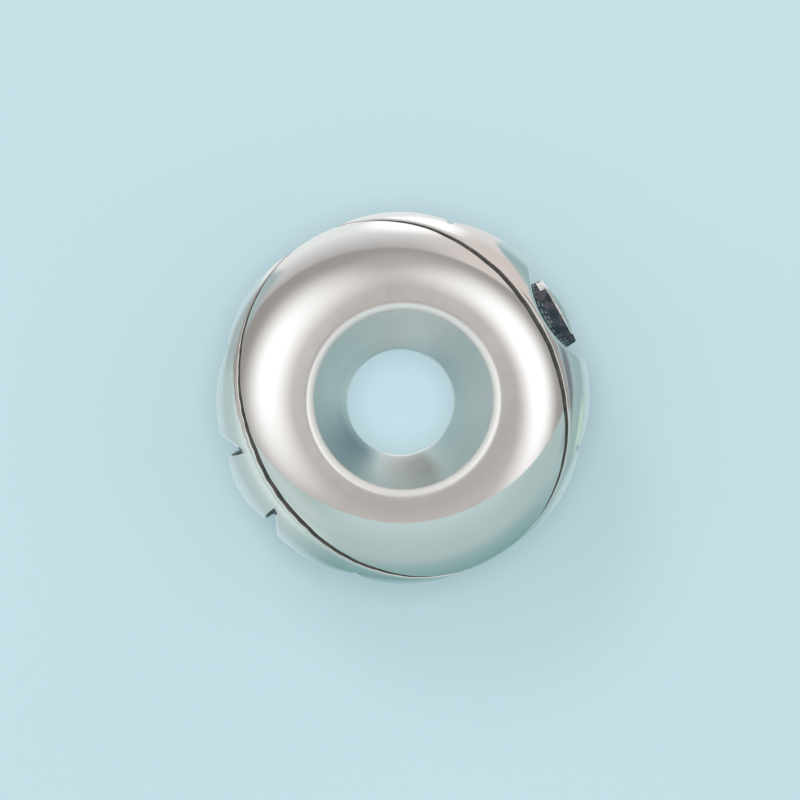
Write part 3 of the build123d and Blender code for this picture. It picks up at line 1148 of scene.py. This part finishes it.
sideways, upwards, outwards = component(picture_right), component(picture_up), component((0.0, 0.0, 1.0))
tilt = calculate(tree, "DEGREES", calculate(tree, "ARCCOSINE", outwards))
turn = calculate(tree, "ARCTAN2", upwards, sideways)

# One softbox, seen as a soft ellipse of directions: its distance d from the middle has
# d² = (turn apart / half width)² + (tilt apart / half height)², and its mask falls from 1 to 0 round
# d = 1. Skew makes it lean, and sag bends its two sides down.
softbox_sockets = (
    "Tilt", "Turn", "Turn Centre", "Half Width", "Tilt Centre", "Half Height", "Blur", "Skew", "Sag"
)
softbox, given, result = new_group(
    "softbox", [(label, "Float", 0.0) for label in softbox_sockets], (("Mask", "Float", None),)
)
offset = calculate(softbox, "SUBTRACT", given["Turn"], calculate(softbox, "RADIANS", given["Turn Centre"]))
apart = calculate(softbox, "DEGREES", calculate(softbox, "ARCCOSINE", calculate(softbox, "COSINE", offset)))
lifted = calculate(softbox, "MULTIPLY", given["Skew"], calculate(softbox, "SINE", offset))
sagging = calculate(softbox, "SUBTRACT", 1.0, calculate(softbox, "COSINE", offset))
lifted = calculate(softbox, "ADD", lifted, calculate(softbox, "MULTIPLY", given["Sag"], sagging))
over = calculate(softbox, "SUBTRACT", calculate(softbox, "ADD", given["Tilt"], lifted), given["Tilt Centre"])
over = calculate(softbox, "DIVIDE", over, given["Half Height"])
apart = calculate(softbox, "DIVIDE", apart, given["Half Width"])
squares = calculate(
    softbox, "ADD", calculate(softbox, "MULTIPLY", over, over), calculate(softbox, "MULTIPLY", apart, apart)
)
inside = calculate(softbox, "SUBTRACT", 1.0, given["Blur"])
outside = calculate(softbox, "ADD", 1.0, given["Blur"])
softbox.links.new(
    ramp(softbox, calculate(softbox, "SQRT", squares), inside, outside, 1.0, 0.0), result["Mask"]
)


def softbox_mask(turn_centre, half_width, tilt_centre, half_height, blur, skew=0.0, sag=0.0):
    """Mask of one softbox of the studio."""
    box = (turn_centre, half_width, tilt_centre, half_height, blur, skew, sag)
    values = dict(zip(softbox_sockets, (tilt, turn, *box)))
    return place_group(tree, softbox, values)["Mask"]


def past_edge(centre, nearest, spread, power=1.0):
    """How far past a curved edge the tilt is: the edge is at c + s (1 - cos offset) to a power."""
    offset = calculate(tree, "SUBTRACT", turn, radians(centre))
    away_from = calculate(tree, "SUBTRACT", 1.0, calculate(tree, "COSINE", offset))
    edge = calculate(tree, "MULTIPLY", calculate(tree, "POWER", away_from, power), spread)
    return calculate(tree, "SUBTRACT", tilt, calculate(tree, "ADD", edge, nearest))


# Ceiling, room and table colours are stops of (degrees, red, green, blue), in degrees of tilt from
# straight up or, for the ceiling, past its edge
tilt_span = 180.0
ceiling_span = 90.0
white = (1.16, 1.155, 1.15, 1.0)
room_stops = (
    (0, 178, 174, 170), (25, 190, 185, 181), (45, 178, 174, 170), (62, 160, 156, 152),
    (100, 155, 151, 147),
)
left_ceiling_stops = (
    (0, 178, 175, 173), (5, 185, 183, 182), (12, 195, 194, 193), (20, 206, 205, 204),
    (28, 217, 216, 215), (36, 226, 226, 225), (46, 232, 236, 235), (62, 230, 236, 235),
)
right_ceiling_stops = (
    (0, 217, 209, 205), (20, 214, 204, 200), (45, 212, 202, 197), (70, 222, 221, 221),
)
near_table_stops = (
    (28, 190, 210, 211), (45, 184, 204, 204), (62, 178, 198, 198), (88, 173, 193, 193),
    (110, 146, 176, 177), (130, 134, 169, 169), (150, 124, 160, 159), (168, 170, 200, 208),
    (180, 194, 222, 232),
)
left_table_stops = (
    (45, 178, 197, 193), (62, 194, 209, 209), (72, 186, 205, 203), (88, 218, 234, 231),
    (100, 202, 219, 218), (110, 184, 203, 202), (130, 180, 200, 202), (145, 188, 208, 210),
    (168, 198, 220, 226), (180, 200, 224, 232),
)
right_table_stops = (
    (45, 180, 200, 200), (62, 175, 195, 194), (105, 168, 190, 191), (120, 156, 182, 183),
    (133, 154, 181, 182), (150, 178, 204, 204), (168, 192, 216, 220), (180, 200, 224, 232),
)
room = colours_by(tree, tilt, tilt_span, room_stops)
left_box = softbox_mask(
    turn_centre=165, half_width=43, tilt_centre=41.5, half_height=28, blur=0.85, skew=-4, sag=40
)
right_box = softbox_mask(
    turn_centre=14, half_width=54, tilt_centre=37.5, half_height=21, blur=0.75, skew=17.3
)
studio = blend_colours(tree, left_box, room, white)
studio = blend_colours(tree, right_box, studio, white)

# The ceiling fades in over ceiling_blur degrees each way, and from its right part to its left one
ceiling_blur = 2.5
ceiling_turns = (62.0, 88.0)
past_ceiling = past_edge(centre=72, nearest=62, spread=60)
left_ceiling = colours_by(tree, past_ceiling, ceiling_span, left_ceiling_stops)
right_ceiling = colours_by(tree, past_ceiling, ceiling_span, right_ceiling_stops)
leftward = ramp(tree, calculate(tree, "DEGREES", turn), *ceiling_turns)
ceiling = blend_colours(tree, leftward, right_ceiling, left_ceiling)
in_ceiling = ramp(tree, past_ceiling, -ceiling_blur, ceiling_blur)
studio = blend_colours(tree, in_ceiling, studio, ceiling)

# The table is nearest straight down in the picture, and blends into its two sides
table_blur = 1.2
table_middle = -80.0
side_table_turns = (30.0, 56.0)
side_blur = 0.2
near_table = colours_by(tree, tilt, tilt_span, near_table_stops)
left_table = colours_by(tree, tilt, tilt_span, left_table_stops)
right_table = colours_by(tree, tilt, tilt_span, right_table_stops)
downward = calculate(tree, "COSINE", calculate(tree, "SUBTRACT", turn, radians(table_middle)))
to_side = calculate(tree, "DEGREES", calculate(tree, "ARCCOSINE", downward))
side_table = blend_colours(tree, ramp(tree, sideways, -side_blur, side_blur), left_table, right_table)
table = blend_colours(tree, ramp(tree, to_side, *side_table_turns), near_table, side_table)
past_table = past_edge(centre=-88, nearest=24.5, spread=70, power=1.25)
studio = blend_colours(tree, ramp(tree, past_table, -table_blur, table_blur), studio, table)

# Patches that lie over these: what shows there, then softbox_mask's first five values
patches = (
    (tint(168, 183, 185), 150, 20, 131, 23, 0.3),
    (table, 10, 49, 150, 67, 0.03),
    (ceiling, 100, 34, 135, 42, 0.06),
    (white, 86, 15, 125, 26, 0.4),
    (tint(122, 130, 138), 4, 18, 99, 8, 0.5),
    (tint(192, 216, 202), -8, 8, 137, 8, 0.6),
)
for shown, *patch in patches:
    studio = blend_colours(tree, softbox_mask(*patch), studio, shown)

backdrop = tint(206, 228, 236)
seen = add_node(tree, "ShaderNodeLightPath").outputs["Is Camera Ray"]
background = add_node(
    tree,
    "ShaderNodeBackground",
    {"Color": blend_colours(tree, seen, studio, backdrop), "Strength": 1.0},
)
add_node(tree, "ShaderNodeOutputWorld", {"Surface": background.outputs[0]})

bpy.context.scene.view_settings.view_transform = "Standard"
bpy.context.scene.view_settings.look = "None"
